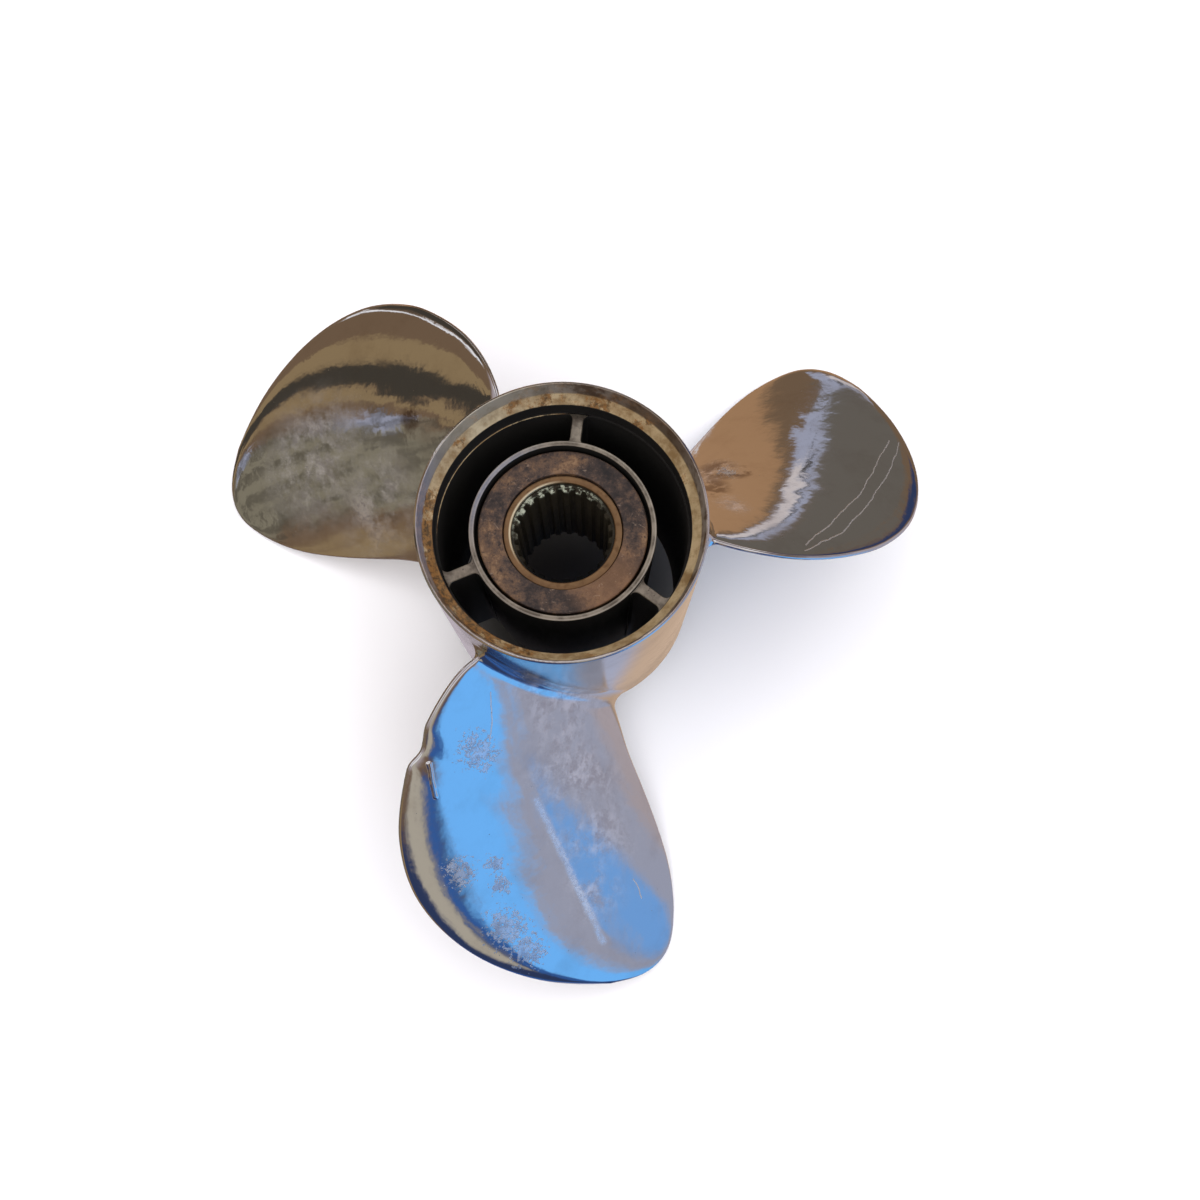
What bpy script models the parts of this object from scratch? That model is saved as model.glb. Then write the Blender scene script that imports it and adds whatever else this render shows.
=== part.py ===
"""Stainless steel boat propeller with three raked, left-hand blades and a through-hub exhaust.

The shaft axis is Z and the forward end of the hub is up. The real casting is one piece: here its
barrel, blades, ribs and inner hub are separate closed solids, a hairline apart. Depths are measured
down from the plane of the forward rim. All sizes are in metres and all angles in degrees.
"""

import math

import bmesh
import bpy

# Hub barrel
RIM_RADIUS = 0.0580
BARREL_LENGTH = 0.1130
PASSAGE_RADIUS = 0.0510
COUNTERBORE_RADIUS = 0.0518
COUNTERBORE_DEPTH = 0.0174
BAND_RADIUS = 0.0554
BAND_DEPTH = 0.0064
CHAMFER_DEPTH = 0.0103
RIM_RIDGE = 0.0006
TAIL_LIP = 0.0022

# Inner hub, which carries the bushing
HUB_RADIUS = 0.0381
HUB_TAIL_RADIUS = 0.0374
HUB_TOP = 0.0145
HUB_BOTTOM = 0.0986
HUB_BORE_RADIUS = 0.0349
HUB_MOUTH_RADIUS = 0.0359
HUB_MOUTH_DEPTH = 0.0240
SHOULDER_RADIUS = 0.0310
SHOULDER_DEPTH = 0.0803
TAIL_BORE_DEPTH = 0.0863
TAIL_BORE_RADIUS = 0.0335
EDGE_BREAK = 0.0005

# Ribs between the inner hub and the barrel
RIB_COUNT = 3
RIB_ANGLE = 90.0
RIB_THICKNESS = 0.0047
RIB_FILLET = 0.0022
RIB_TOP = COUNTERBORE_DEPTH
RIB_BOTTOM = HUB_BOTTOM

# Rubber bushing and splined sleeve
BUSHING_TOP = 0.0171
BUSHING_BOTTOM = 0.0800
SLEEVE_RADIUS = 0.0243
SLEEVE_TOP = 0.0187
SLEEVE_BOTTOM = 0.0841
SLEEVE_MOUTH_RADIUS = 0.0212
SLEEVE_MOUTH_DEPTH = 0.0215
SPLINE_COUNT = 23
SPLINE_TIP_RADIUS = 0.0188
SPLINE_ROOT_RADIUS = 0.0203
SPLINE_TOOTH_SHARE = 0.42
SPLINE_FLANK_SHARE = 0.13

# Blades: a left-hand helicoid that leans aft towards the tips
BLADE_COUNT = 3
BLADE_ANGLE = 270.0
BLADE_DEPTH = 0.0627
PITCH = 0.592
RAKE = 0.2725
ROOT_THICKNESS = 0.0075
TIP_THICKNESS = 0.0026
TIP_RADIUS = 0.1850
EDGE_THICKNESS = 0.0016
CAMBER = 0.030
ROOT_FILLET = 0.0060
TIP_SHARE = 0.985
BLADE_ROWS = 26
BLADE_STATIONS = 16
CAP_LAYERS = (1.0, 0.5, 0.0, -0.5, -1.0)

# Edge curves as (radius, angle from the blade's root), from the root to the tip
LEADING_EDGE = (
    (0.0580, -25.2),
    (0.0700, -28.0),
    (0.0850, -28.7),
    (0.1020, -27.6),
    (0.1210, -24.9),
    (0.1400, -21.2),
    (0.1580, -15.4),
    (0.1720, -7.0),
    (0.1810, 3.0),
    (0.1850, 13.0),
)
TRAILING_EDGE = (
    (0.0580, 26.9),
    (0.0690, 26.6),
    (0.0830, 26.2),
    (0.1000, 26.8),
    (0.1180, 27.1),
    (0.1370, 26.8),
    (0.1540, 25.6),
    (0.1690, 23.7),
    (0.1770, 21.9),
    (0.1818, 19.7),
    (0.1843, 17.0),
    (0.1850, 13.0),
)

# A knock has pushed in the leading edge of the first blade between two radii
DENT_START = 0.0980
DENT_DEEPEST = 0.1055
DENT_END = 0.1100
DENT_DEPTH = 0.0018

# Clearance between pieces that touch, and the height of the forward rim over the centroid
GAP = 0.0003
RIM_HEIGHT = 0.0626

BARREL_STEPS = 72
HUB_STEPS = 60
SLEEVE_STEPS = 46


def clear_scene():
    for obj in list(bpy.data.objects):
        bpy.data.objects.remove(obj, do_unlink=True)


def make_collection(name):
    collection = bpy.data.collections.new(name)
    bpy.context.scene.collection.children.link(collection)
    return collection


def make_material(name, color, roughness, metallic):
    material = bpy.data.materials.new(name)
    material.use_nodes = True
    shader = material.node_tree.nodes["Principled BSDF"]
    shader.inputs["Base Color"].default_value = (*color, 1.0)
    shader.inputs["Roughness"].default_value = roughness
    shader.inputs["Metallic"].default_value = metallic
    material.diffuse_color = (*color, 1.0)
    return material


def polished_steel():
    return make_material("polished_steel", (0.56, 0.54, 0.51), 0.18, 1.0)


def cast_steel():
    return make_material("cast_steel", (0.30, 0.28, 0.25), 0.45, 1.0)


def bushing_rubber():
    return make_material("bushing_rubber", (0.09, 0.055, 0.040), 0.75, 0.0)


def sleeve_brass():
    return make_material("sleeve_brass", (0.42, 0.30, 0.19), 0.35, 1.0)


def height(depth):
    """World height of a depth below the forward rim."""
    return RIM_HEIGHT - depth


def add_object(name, mesh, collection, material):
    obj = bpy.data.objects.new(name, mesh)
    collection.objects.link(obj)
    mesh.materials.append(material)
    return obj


def smooth_by_angle(mesh):
    mesh.shade_smooth()
    mesh.set_sharp_from_angle(angle=math.radians(32))


def turned(name, profile, steps, collection, material):
    """Turn a closed profile of (radius, depth) about Z; it runs down its outer side first."""
    mesh = bpy.data.meshes.new(name)
    points = [(radius, 0.0, height(depth)) for radius, depth in profile]
    count = len(points)
    mesh.from_pydata(points, [(i, (i + 1) % count) for i in range(count)], [])
    obj = add_object(name, mesh, collection, material)
    screw = obj.modifiers.new("turn", "SCREW")
    screw.axis = "Z"
    screw.angle = math.tau
    screw.steps = steps
    screw.render_steps = steps
    screw.use_merge_vertices = True
    screw.merge_threshold = 0.00001
    return obj


def applied(obj):
    """Replace an object's mesh by its evaluated one and drop its modifiers."""
    bpy.context.view_layer.update()
    depsgraph = bpy.context.evaluated_depsgraph_get()
    mesh = bpy.data.meshes.new_from_object(obj.evaluated_get(depsgraph))
    obj.modifiers.clear()
    obj.data = mesh
    smooth_by_angle(mesh)
    return obj


def make_barrel(collection, material):
    profile = (
        (RIM_RADIUS - RIM_RIDGE, 0.0),
        (RIM_RADIUS, RIM_RIDGE),
        (RIM_RADIUS, BARREL_LENGTH - TAIL_LIP),
        (RIM_RADIUS - 0.3 * TAIL_LIP, BARREL_LENGTH - 0.3 * TAIL_LIP),
        (RIM_RADIUS - TAIL_LIP, BARREL_LENGTH),
        (PASSAGE_RADIUS + TAIL_LIP, BARREL_LENGTH),
        (PASSAGE_RADIUS + 0.3 * TAIL_LIP, BARREL_LENGTH - 0.3 * TAIL_LIP),
        (PASSAGE_RADIUS, BARREL_LENGTH - TAIL_LIP),
        (PASSAGE_RADIUS, COUNTERBORE_DEPTH),
        (COUNTERBORE_RADIUS, COUNTERBORE_DEPTH),
        (COUNTERBORE_RADIUS, CHAMFER_DEPTH),
        (BAND_RADIUS, BAND_DEPTH),
        (RIM_RADIUS - 2.0 * RIM_RIDGE, 0.0),
    )
    return applied(turned("barrel", profile, BARREL_STEPS, collection, material))


def make_inner_hub(collection, material):
    profile = (
        (HUB_RADIUS - EDGE_BREAK, HUB_TOP),
        (HUB_RADIUS, HUB_TOP + EDGE_BREAK),
        (HUB_TAIL_RADIUS, HUB_BOTTOM - EDGE_BREAK),
        (HUB_TAIL_RADIUS - EDGE_BREAK, HUB_BOTTOM),
        (TAIL_BORE_RADIUS, HUB_BOTTOM),
        (TAIL_BORE_RADIUS, TAIL_BORE_DEPTH),
        (SHOULDER_RADIUS, TAIL_BORE_DEPTH),
        (SHOULDER_RADIUS, SHOULDER_DEPTH),
        (HUB_BORE_RADIUS, SHOULDER_DEPTH),
        (HUB_BORE_RADIUS, HUB_MOUTH_DEPTH),
        (HUB_MOUTH_RADIUS, HUB_MOUTH_DEPTH),
        (HUB_MOUTH_RADIUS, HUB_TOP),
    )
    return applied(turned("inner_hub", profile, HUB_STEPS, collection, material))


def make_bushing(collection, material):
    outer = HUB_BORE_RADIUS - GAP
    inner = SLEEVE_RADIUS + GAP
    profile = (
        (outer - EDGE_BREAK, BUSHING_TOP),
        (outer, BUSHING_TOP + EDGE_BREAK),
        (outer, BUSHING_BOTTOM),
        (inner, BUSHING_BOTTOM),
        (inner, BUSHING_TOP),
    )
    return applied(turned("rubber_bushing", profile, HUB_STEPS, collection, material))


def rib_outline(angle):
    """Plan outline of one rib: a plate whose four corners flare into the two hub walls."""
    half = 0.5 * RIB_THICKNESS
    inner = HUB_RADIUS + GAP
    outer = PASSAGE_RADIUS - GAP
    arc_steps = 4
    side = []
    for i in range(arc_steps + 1):
        turn = math.radians(90.0 * i / arc_steps)
        x = half + RIB_FILLET * (1.0 - math.sin(turn))
        y = inner + RIB_FILLET * (1.0 - math.cos(turn))
        side.append((x, max(y, math.sqrt(inner**2 - x**2))))
    for i in range(arc_steps + 1):
        turn = math.radians(90.0 * (1.0 - i / arc_steps))
        x = half + RIB_FILLET * (1.0 - math.sin(turn))
        y = math.sqrt(outer**2 - half**2) - RIB_FILLET * (1.0 - math.cos(turn))
        side.append((x, min(y, math.sqrt(outer**2 - x**2))))
    middle_top = (0.0, outer)
    middle_bottom = (0.0, inner)
    plan = [middle_bottom, *side, middle_top, *((-x, y) for x, y in reversed(side))]
    turn = math.radians(angle - 90.0)
    return [(x * math.cos(turn) - y * math.sin(turn), x * math.sin(turn) + y * math.cos(turn))
            for x, y in plan]


def make_rib(index, collection, material):
    name = f"rib_{index + 1}"
    mesh = bpy.data.meshes.new(name)
    bm = bmesh.new()
    outline = rib_outline(RIB_ANGLE + index * 360.0 / RIB_COUNT)
    face = bm.faces.new([bm.verts.new((x, y, height(RIB_BOTTOM))) for x, y in outline])
    raised = bmesh.ops.extrude_face_region(bm, geom=[face])["geom"]
    moved = [item for item in raised if isinstance(item, bmesh.types.BMVert)]
    bmesh.ops.translate(bm, verts=moved, vec=(0.0, 0.0, RIB_BOTTOM - RIB_TOP))
    bmesh.ops.recalc_face_normals(bm, faces=bm.faces)
    bm.to_mesh(mesh)
    bm.free()
    smooth_by_angle(mesh)
    return add_object(name, mesh, collection, material)


def make_spline_cutter(collection, material):
    """A toothed prism whose lands cut the grooves between the sleeve's internal teeth."""
    mesh = bpy.data.meshes.new("spline_cutter")
    bm = bmesh.new()
    corner_shares = (0.0, SPLINE_TOOTH_SHARE, SPLINE_TOOTH_SHARE + SPLINE_FLANK_SHARE,
                     1.0 - SPLINE_FLANK_SHARE)
    radii = (SPLINE_TIP_RADIUS, SPLINE_TIP_RADIUS, SPLINE_ROOT_RADIUS, SPLINE_ROOT_RADIUS)
    low = height(SLEEVE_BOTTOM + 0.002)
    outline = []
    for tooth in range(SPLINE_COUNT):
        for share, radius in zip(corner_shares, radii):
            turn = math.tau * (tooth + share) / SPLINE_COUNT
            outline.append(bm.verts.new((radius * math.cos(turn), radius * math.sin(turn), low)))
    face = bm.faces.new(outline)
    raised = bmesh.ops.extrude_face_region(bm, geom=[face])["geom"]
    moved = [item for item in raised if isinstance(item, bmesh.types.BMVert)]
    length = SLEEVE_BOTTOM - SLEEVE_TOP + 0.004
    bmesh.ops.translate(bm, verts=moved, vec=(0.0, 0.0, length))
    bmesh.ops.recalc_face_normals(bm, faces=bm.faces)
    bm.to_mesh(mesh)
    bm.free()
    cutter = add_object("spline_cutter", mesh, collection, material)
    cutter.hide_render = True
    cutter.display_type = "WIRE"
    return cutter


def make_sleeve(collection, cutters, material):
    profile = (
        (SLEEVE_RADIUS, SLEEVE_TOP),
        (SLEEVE_RADIUS, SLEEVE_BOTTOM),
        (SPLINE_TIP_RADIUS - 0.001, SLEEVE_BOTTOM),
        (SPLINE_TIP_RADIUS - 0.001, SLEEVE_MOUTH_DEPTH),
        (SLEEVE_MOUTH_RADIUS, SLEEVE_MOUTH_DEPTH),
        (SLEEVE_MOUTH_RADIUS, SLEEVE_TOP + EDGE_BREAK),
        (SLEEVE_MOUTH_RADIUS + EDGE_BREAK, SLEEVE_TOP),
    )
    sleeve = turned("spline_sleeve", profile, SLEEVE_STEPS, collection, material)
    cut = sleeve.modifiers.new("splines", "BOOLEAN")
    cut.operation = "DIFFERENCE"
    cut.solver = "EXACT"
    cut.object = make_spline_cutter(cutters, material)
    return applied(sleeve)


def edge_point(edge, share):
    """Point at a share of the way along an edge curve, on a smooth spline through its points."""
    place = share * (len(edge) - 1)
    index = min(int(place), len(edge) - 2)
    t = place - index
    before = edge[max(index - 1, 0)]
    start = edge[index]
    end = edge[index + 1]
    after = edge[min(index + 2, len(edge) - 1)]
    point = []
    for a, b, c, d in zip(before, start, end, after):
        point.append(0.5 * (2.0 * b + (c - a) * t + (2.0 * a - 5.0 * b + 4.0 * c - d) * t**2
                            + (3.0 * b - a - 3.0 * c + d) * t**3))
    return point


def dent(radius):
    """Depth of the dent in the leading edge of the first blade."""
    rise = (radius - DENT_START) / (DENT_DEEPEST - DENT_START)
    fall = (DENT_END - radius) / (DENT_END - DENT_DEEPEST)
    return DENT_DEPTH * max(0.0, min(rise, fall))


def fillet_growth(radius):
    """How far the blade's skin spreads where it runs into the barrel."""
    rise = radius - RIM_RADIUS
    if rise >= ROOT_FILLET:
        return 0.0
    return ROOT_FILLET - math.sqrt(ROOT_FILLET**2 - (ROOT_FILLET - rise)**2)


def blade_thickness(radius):
    share = (radius - RIM_RADIUS) / (TIP_RADIUS - RIM_RADIUS)
    return ROOT_THICKNESS + (TIP_THICKNESS - ROOT_THICKNESS) * share


def skin_point(radius, angle, blade_angle, along, across):
    """A point on the blade, moved along and across its section on a cylinder about the shaft."""
    lead = PITCH / math.tau
    slope = math.hypot(lead, radius)
    turn = math.radians(blade_angle + angle) + (along * radius + across * lead) / slope / radius
    depth = (BLADE_DEPTH + lead * math.radians(angle) + RAKE * (radius - RIM_RADIUS)
             + (along * lead - across * radius) / slope)
    return (radius * math.cos(turn), radius * math.sin(turn), height(depth))


def blade_section(share, blade_angle):
    """Nose, tail and layers of one section: each layer runs from leading to trailing edge."""
    lead_radius, lead_angle = edge_point(LEADING_EDGE, share)
    trail_radius, trail_angle = edge_point(TRAILING_EDGE, share)
    if blade_angle == BLADE_ANGLE:
        lead_angle += math.degrees(dent(lead_radius) / lead_radius)
    lead_radius = max(lead_radius, RIM_RADIUS + GAP)
    trail_radius = max(trail_radius, RIM_RADIUS + GAP)
    chord = math.hypot(PITCH / math.tau, lead_radius) * math.radians(trail_angle - lead_angle)
    layers = [[] for _ in CAP_LAYERS]
    for i in range(BLADE_STATIONS + 1):
        s = 0.5 - 0.5 * math.cos(math.pi * i / BLADE_STATIONS)
        radius = lead_radius + (trail_radius - lead_radius) * s
        angle = lead_angle + (trail_angle - lead_angle) * s
        bulge = math.sqrt(4.0 * s * (1.0 - s))
        thickness = EDGE_THICKNESS + (blade_thickness(radius) - EDGE_THICKNESS) * bulge
        camber = CAMBER * chord * 4.0 * s * (1.0 - s)
        growth = fillet_growth(radius)
        spread = growth * (2.0 * s - 1.0)
        half = 0.5 * thickness + growth
        for layer, place in zip(layers, CAP_LAYERS):
            layer.append(skin_point(radius, angle, blade_angle, spread, camber + place * half))
    nose_reach = 0.5 * EDGE_THICKNESS + fillet_growth(lead_radius)
    tail_reach = 0.5 * EDGE_THICKNESS + fillet_growth(trail_radius)
    nose = skin_point(lead_radius, lead_angle, blade_angle, -nose_reach, 0.0)
    tail = skin_point(trail_radius, trail_angle, blade_angle, tail_reach, 0.0)
    return nose, tail, layers


def add_strip(bm, first, second):
    for i in range(len(first) - 1):
        bm.faces.new((first[i], first[i + 1], second[i + 1], second[i]))


def close_end(bm, nose, tail, layers):
    """Close one end of the blade with strips between its layers and a fan at each edge."""
    for first, second in zip(layers, layers[1:]):
        add_strip(bm, first, second)
        bm.faces.new((nose, first[0], second[0]))
        bm.faces.new((tail, first[-1], second[-1]))


def make_blade(index, collection, material):
    name = f"blade_{index + 1}"
    blade_angle = BLADE_ANGLE + index * 360.0 / BLADE_COUNT
    bm = bmesh.new()
    rings = []
    for row in range(BLADE_ROWS + 1):
        share = TIP_SHARE * math.sin(0.5 * math.pi * row / BLADE_ROWS)
        nose, tail, layers = blade_section(share, blade_angle)
        if row > 0:
            layers = [layers[0], layers[-1]]
        nose = bm.verts.new(nose)
        tail = bm.verts.new(tail)
        layers = [[bm.verts.new(point) for point in layer] for layer in layers]
        rings.append([nose, *layers[0], tail, *reversed(layers[-1]), nose])
        if row in (0, BLADE_ROWS):
            close_end(bm, nose, tail, layers)
    for ring, above in zip(rings, rings[1:]):
        add_strip(bm, ring, above)
    bmesh.ops.recalc_face_normals(bm, faces=bm.faces)
    mesh = bpy.data.meshes.new(name)
    bm.to_mesh(mesh)
    bm.free()
    smooth_by_angle(mesh)
    return add_object(name, mesh, collection, material)


def main():
    clear_scene()
    propeller = make_collection("boat_propeller")
    cutters = make_collection("cutters")
    polished = polished_steel()
    cast = cast_steel()
    make_barrel(propeller, polished)
    for index in range(BLADE_COUNT):
        make_blade(index, propeller, polished)
    for index in range(RIB_COUNT):
        make_rib(index, propeller, cast)
    make_inner_hub(propeller, cast)
    make_bushing(propeller, bushing_rubber())
    make_sleeve(propeller, cutters, sleeve_brass())


main()
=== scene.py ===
import math

import bpy
from mathutils import Matrix, Vector, noise


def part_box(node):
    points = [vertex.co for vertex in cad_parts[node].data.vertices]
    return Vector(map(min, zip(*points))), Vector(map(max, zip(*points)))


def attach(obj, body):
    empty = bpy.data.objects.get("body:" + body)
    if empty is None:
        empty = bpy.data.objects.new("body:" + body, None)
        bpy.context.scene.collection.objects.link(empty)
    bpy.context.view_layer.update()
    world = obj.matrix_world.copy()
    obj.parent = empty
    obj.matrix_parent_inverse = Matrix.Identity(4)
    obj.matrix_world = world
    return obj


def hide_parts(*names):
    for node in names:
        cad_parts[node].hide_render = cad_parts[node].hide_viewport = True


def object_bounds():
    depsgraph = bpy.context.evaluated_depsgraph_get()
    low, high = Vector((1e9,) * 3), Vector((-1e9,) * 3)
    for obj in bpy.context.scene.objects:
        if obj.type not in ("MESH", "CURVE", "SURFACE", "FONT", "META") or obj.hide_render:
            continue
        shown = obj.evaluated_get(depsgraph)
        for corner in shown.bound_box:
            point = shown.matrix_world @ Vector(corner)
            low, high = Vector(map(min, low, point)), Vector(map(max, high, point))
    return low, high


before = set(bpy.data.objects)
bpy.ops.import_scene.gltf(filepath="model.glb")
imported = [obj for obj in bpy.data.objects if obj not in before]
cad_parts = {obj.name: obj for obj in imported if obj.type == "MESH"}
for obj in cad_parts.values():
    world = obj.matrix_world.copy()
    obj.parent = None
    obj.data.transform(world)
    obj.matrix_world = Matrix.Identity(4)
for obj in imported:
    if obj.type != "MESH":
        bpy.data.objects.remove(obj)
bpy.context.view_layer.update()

# The CAD box, and the height of the forward rim, from which all depths are measured
RIM_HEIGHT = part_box("barrel")[1].z
RIM_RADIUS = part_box("barrel")[1].x

# Hub barrel
BARREL_LENGTH = 0.1130
PASSAGE_RADIUS = 0.0510
COUNTERBORE_RADIUS = 0.0518
COUNTERBORE_DEPTH = 0.0174
BAND_RADIUS = 0.0554
BAND_DEPTH = 0.0064
CHAMFER_DEPTH = 0.0103
RIM_RIDGE = 0.0006
RIM_BEVEL = 0.0013
TAIL_LIP = 0.0022
BARREL_STEPS = 288

# Inner hub
HUB_RADIUS = 0.0381
HUB_TAIL_RADIUS = 0.0374
HUB_TOP = 0.0145
HUB_BOTTOM = 0.0986
HUB_BORE_RADIUS = 0.0349
HUB_MOUTH_RADIUS = 0.0359
HUB_MOUTH_DEPTH = 0.0240
SHOULDER_RADIUS = 0.0310
SHOULDER_DEPTH = 0.0803
TAIL_BORE_DEPTH = 0.0863
TAIL_BORE_RADIUS = 0.0335
HUB_STEPS = 224

# Ribs
RIB_COUNT = 3
RIB_ANGLE = 90.0
RIB_THICKNESS = 0.0047
RIB_FILLET = 0.0026
RIB_FILLET_STEPS = 8
RIB_FILLET_LAP = 0.0004
RIB_HUB_LAP = 0.0006
RIB_BARREL_LAP = 0.0005
RIB_BEVEL = 0.0003
RIB_SHORTENING = 0.0002

# Bushing and sleeve
BUSHING_TOP = 0.0171
BUSHING_BOTTOM = 0.0800
BUSHING_GAP = 0.0003
BUSHING_STEPS = 192
SLEEVE_RADIUS = 0.0243
SLEEVE_TOP = 0.0187
SLEEVE_BOTTOM = 0.0841
SLEEVE_MOUTH_RADIUS = 0.0212
SLEEVE_MOUTH_DEPTH = 0.0215
SPLINE_COUNT = 23
SPLINE_TIP_RADIUS = 0.0188
SPLINE_ROOT_RADIUS = 0.0203
SPLINE_TOOTH_SHARE = 0.42
SPLINE_FLANK_SHARE = 0.13
SPLINE_LAND = 0.0016
TOOTH_STEPS = 14

# Blades
BLADE_COUNT = 3
BLADE_ANGLE = 270.0
BLADE_DEPTH = 0.0627
PITCH = 0.592
RAKE = 0.2725
ROOT_THICKNESS = 0.0075
TIP_THICKNESS = 0.0026
TIP_RADIUS = 0.1850
EDGE_THICKNESS = 0.0016
EDGE_TRIM = 0.00015
CAMBER = 0.030
ROOT_FILLET = 0.0060
ROOT_SINK = 0.0010
FILLET_ROWS = 14
BLADE_ROWS = 150
BLADE_STATIONS = 110
NOSE_STEPS = 6
LAST_ROW = 0.999
LEADING_EDGE = (
    (0.0580, -25.2),
    (0.0700, -28.0),
    (0.0850, -28.7),
    (0.1020, -27.6),
    (0.1210, -24.9),
    (0.1400, -21.2),
    (0.1580, -15.4),
    (0.1720, -7.0),
    (0.1810, 3.0),
    (0.1850, 13.0),
)
TRAILING_EDGE = (
    (0.0580, 26.9),
    (0.0690, 26.6),
    (0.0830, 26.2),
    (0.1000, 26.8),
    (0.1180, 27.1),
    (0.1370, 26.8),
    (0.1540, 25.6),
    (0.1690, 23.7),
    (0.1770, 21.9),
    (0.1818, 19.7),
    (0.1843, 17.0),
    (0.1850, 13.0),
)

# Marks on the blades. A knock and its repair on the first blade left a worn and dented leading edge,
# hammered down beyond a crease, and a ridge across the tip half. The leading edge of the third blade
# is rolled off. Angles are from the middle of the blade's root.
DENT_START = 0.0940
DENT_DEEPEST = 0.1035
DENT_END = 0.1130
DENT_DEPTH = 0.0018
WORN_START = 0.0640
WORN_DEPTH = 0.0009
ROLL_WIDTH = 0.0075
ROLL_DROPS = (0.0, 0.0, 0.0012)
ROLL_END = 0.1720
ROLL_FADE = 0.030
CREASE_START = 0.1040
CREASE_ANGLE = -24.0
CREASE_SWEEP = 364.0
CREASE_SLOPE = 0.040
CREASE_NARROWING = 6.3
CREASE_ONSET = 0.0035
CREASE_LEAD = 0.0015
CREASE_FLAT = 0.0005
RIDGE_START = 0.1030
RIDGE_END = 0.1680
RIDGE_ANGLE = -0.2
RIDGE_SWEEP = 202.0
RIDGE_WIDTH = 0.0035
RIDGE_HEIGHT = 0.00022
RIDGE_ONSET = 0.010
RIDGE_FADE = 0.008

# Faint waves and ripples left by the polishing
WAVE_HEIGHT = 0.000075
WAVE_SCALE = 34.0
RIPPLE_HEIGHT = 0.00003
RIPPLE_SCALE = 90.0
WAVES_ONSET = 0.020
WAVES_FADE = 0.015

# The floor is pale; under the hub a dark disc on it is a painted shadow, seen through the bore and the
# passages
FLOOR_SHADE = (243, 243, 243)
FLOOR_ROUGHNESS = 0.9
FLOOR_SIZE = 8.0
BACKDROP_SHADE = (240, 241, 243)
BACKDROP_RADIUS = 5.0
PAINTED_SHADOW_SHADE = (84, 83, 80)
PAINTED_SHADOW_RADIUS = 0.0535
PAINTED_SHADOW_FADE = 0.004
PAINTED_SHADOW_SHIFT = 0.0045
PAINTED_SHADOW_THICKNESS = 0.0002

# Soft lamps in a ring over the part
LAMP_COUNT = 6
FIRST_LAMP_ANGLE = 15.0
LAMP_ELEVATION = 50.0
LAMP_DISTANCE = 1.5
LAMP_SIZE = 1.3
LAMP_POWER = 6.0

# Camera, found from the outline and the hub circles of the photograph
CAMERA_LENS = 33.0
SENSOR_WIDTH = 36.0
CAMERA_TURN = 6.4
CAMERA_ELEVATION = 76.27
CAMERA_ROLL = 0.5
RIM_RIGHT = -0.01505
RIM_UP = 0.03211
RIM_AWAY = 0.42975


def height(depth):
    return RIM_HEIGHT - depth


def new_object(name, data):
    obj = bpy.data.objects.new(name, data)
    bpy.context.scene.collection.objects.link(obj)
    return obj


def smooth_by_angle(mesh, degrees=32.0):
    mesh.shade_smooth()
    mesh.set_sharp_from_angle(angle=math.radians(degrees))


def rounded_profile(corners, steps=4):
    """Corner points (radius, depth, rounding) of a closed profile, as points with rounded corners."""
    points = []
    count = len(corners)
    for i, (radius, depth, rounding) in enumerate(corners):
        here = Vector((radius, depth))
        if rounding <= 0.0:
            points.append(tuple(here))
            continue
        before = Vector(corners[i - 1][:2])
        after = Vector(corners[(i + 1) % count][:2])
        start = here + (before - here).normalized() * min(rounding, 0.45 * (before - here).length)
        end = here + (after - here).normalized() * min(rounding, 0.45 * (after - here).length)
        for k in range(steps + 1):
            t = k / steps
            points.append(tuple(start * (1 - t) ** 2 + here * 2 * t * (1 - t) + end * t**2))
    return points


def revolved(name, profile, steps, shift=None):
    """A closed ring from a profile of (radius, depth); shift(radius, depth, angle) changes the radius."""
    verts = []
    faces = []
    count = len(profile)
    for i in range(steps):
        angle = math.tau * i / steps
        for radius, depth in profile:
            r = radius + (shift(radius, depth, angle) if shift else 0.0)
            verts.append((r * math.cos(angle), r * math.sin(angle), height(depth)))
    for i in range(steps):
        this = i * count
        following = ((i + 1) % steps) * count
        for j in range(count):
            k = (j + 1) % count
            faces.append((this + j, this + k, following + k, following + j))
    mesh = bpy.data.meshes.new(name)
    mesh.from_pydata(verts, [], faces)
    smooth_by_angle(mesh)
    return new_object(name, mesh)


def make_barrel():
    profile = rounded_profile((
        (RIM_RADIUS - RIM_BEVEL, 0.0, 0.0003),
        (RIM_RADIUS, RIM_RIDGE, 0.0006),
        (RIM_RADIUS, 0.5 * BARREL_LENGTH, 0.0),
        (RIM_RADIUS, BARREL_LENGTH, TAIL_LIP),
        (PASSAGE_RADIUS, BARREL_LENGTH, TAIL_LIP),
        (PASSAGE_RADIUS, 0.5 * BARREL_LENGTH, 0.0),
        (PASSAGE_RADIUS, COUNTERBORE_DEPTH, 0.0002),
        (COUNTERBORE_RADIUS, COUNTERBORE_DEPTH, 0.0002),
        (COUNTERBORE_RADIUS, CHAMFER_DEPTH, 0.0003),
        (BAND_RADIUS, BAND_DEPTH, 0.0003),
    ))
    return revolved("barrel_skin", profile, BARREL_STEPS)


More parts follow.
